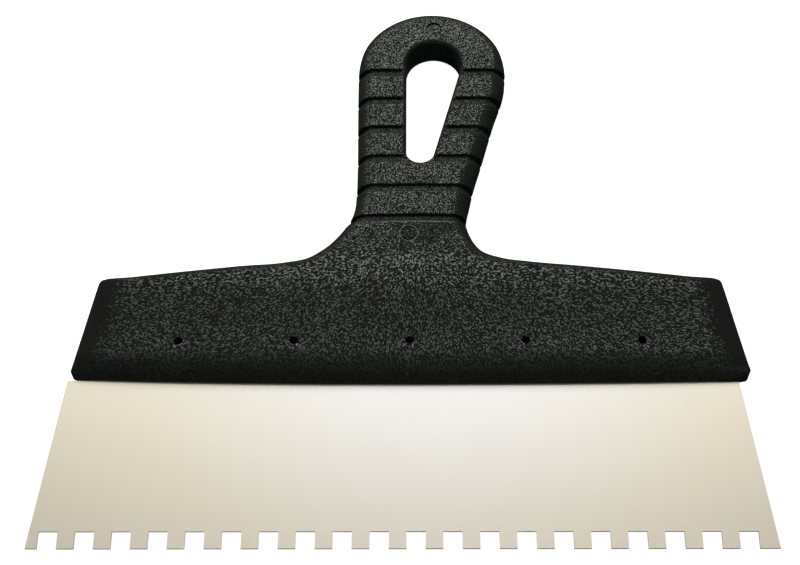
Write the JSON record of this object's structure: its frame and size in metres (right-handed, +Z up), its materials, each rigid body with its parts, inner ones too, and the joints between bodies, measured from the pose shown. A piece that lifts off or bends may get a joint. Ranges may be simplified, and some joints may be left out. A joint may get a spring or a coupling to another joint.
{
  "type": "notched spreader trowel",
  "caption": "Wide square-notched spreading trowel: thin steel blade in a long moulded handle bar with an in-line loop grip, finger grooves and sunk fixing pins.",
  "frame": {"origin": "under the middle of the whole tool's bounding box, on the plane it lies on", "axes": "tool lying on its back: +X along the notched edge, +Y from the notched edge towards the loop, +Z up out of the front face"},
  "size_m": [0.25, 0.221, 0.0172],
  "materials": {
    "blade_steel": "fine satin stainless sheet",
    "handle_plastic": "grained black moulding with faint flow streaks",
    "pin_steel": "plain steel, dull"
  },
  "bodies": {
    "root": {"blade": "blade_steel", "handle": "handle_plastic", "fixing_pins": "pin_steel"}
  },
  "joints": []
}
